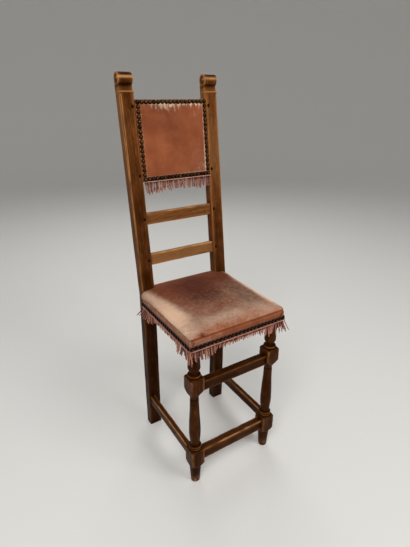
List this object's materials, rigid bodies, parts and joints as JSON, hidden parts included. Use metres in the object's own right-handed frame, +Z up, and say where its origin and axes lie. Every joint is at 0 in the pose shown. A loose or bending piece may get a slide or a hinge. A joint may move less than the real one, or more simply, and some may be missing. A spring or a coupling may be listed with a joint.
{
  "type": "high-back side chair",
  "caption": "Narrow high-backed oak side chair with turned front legs, rolled post tops, slats, a fringed velvet seat and a fringed velvet back panel.",
  "frame": {"origin": "on the floor, under the middle of the chair's box", "axes": "+Z up; the chair faces -Y; X is its width, with the chair's left as seen from the front at -X"},
  "size_m": [0.2838, 0.3493, 1],
  "materials": {
    "oak": "worn wax over honey-brown oak",
    "peg_oak": "dark end grain",
    "velvet": "worn terracotta velvet",
    "fringe": "twisted rose cord",
    "nails": "dark antique brass",
    "jute": "woven jute",
    "hessian": "plain weave",
    "stuffing": "curled hair",
    "lining": "dark plain cloth"
  },
  "bodies": {
    "root": {"back_post_left": "oak", "back_post_right": "oak", "front_leg_left": "oak", "front_leg_right": "oak", "seat_rail_front": "oak", "seat_rail_back": "oak", "seat_rail_left": "oak", "seat_rail_right": "oak", "upper_front_stretcher": "oak", "lower_front_stretcher": "oak", "side_stretcher_left": "oak", "side_stretcher_right": "oak", "back_slat_lower": "oak", "back_slat_upper": "oak", "panel_rail_bottom": "oak", "panel_rail_top": "oak", "panel_stile_left": "oak", "panel_stile_right": "oak", "corner_block_front_left": "oak", "corner_block_front_right": "oak", "corner_block_back_left": "oak", "corner_block_back_right": "oak", "peg_slat_lower_left": "peg_oak", "peg_slat_lower_right": "peg_oak", "peg_slat_upper_left": "peg_oak", "peg_slat_upper_right": "peg_oak", "peg_panel_bottom_left": "peg_oak", "peg_panel_bottom_right": "peg_oak", "peg_panel_top_left": "peg_oak", "peg_panel_top_right": "peg_oak", "seat_strap_length_1": "jute", "seat_strap_length_2": "jute", "seat_strap_length_3": "jute", "seat_strap_cross_1": "jute", "seat_strap_cross_2": "jute", "seat_strap_cross_3": "jute", "seat_base_cloth": "hessian", "panel_base_cloth": "hessian", "seat_stuffing": "stuffing", "panel_stuffing": "stuffing", "seat_cover": "velvet", "panel_cover": "velvet", "panel_lining": "lining", "seat_nails_front": "nails", "seat_nails_left": "nails", "seat_nails_right": "nails", "seat_nails_rear": "nails", "panel_nails_top": "nails", "panel_nails_bottom": "nails", "panel_nails_left": "nails", "panel_nails_right": "nails", "seat_fringe_front": "fringe", "seat_fringe_left": "fringe", "seat_fringe_right": "fringe", "panel_fringe": "fringe"}
  },
  "joints": []
}
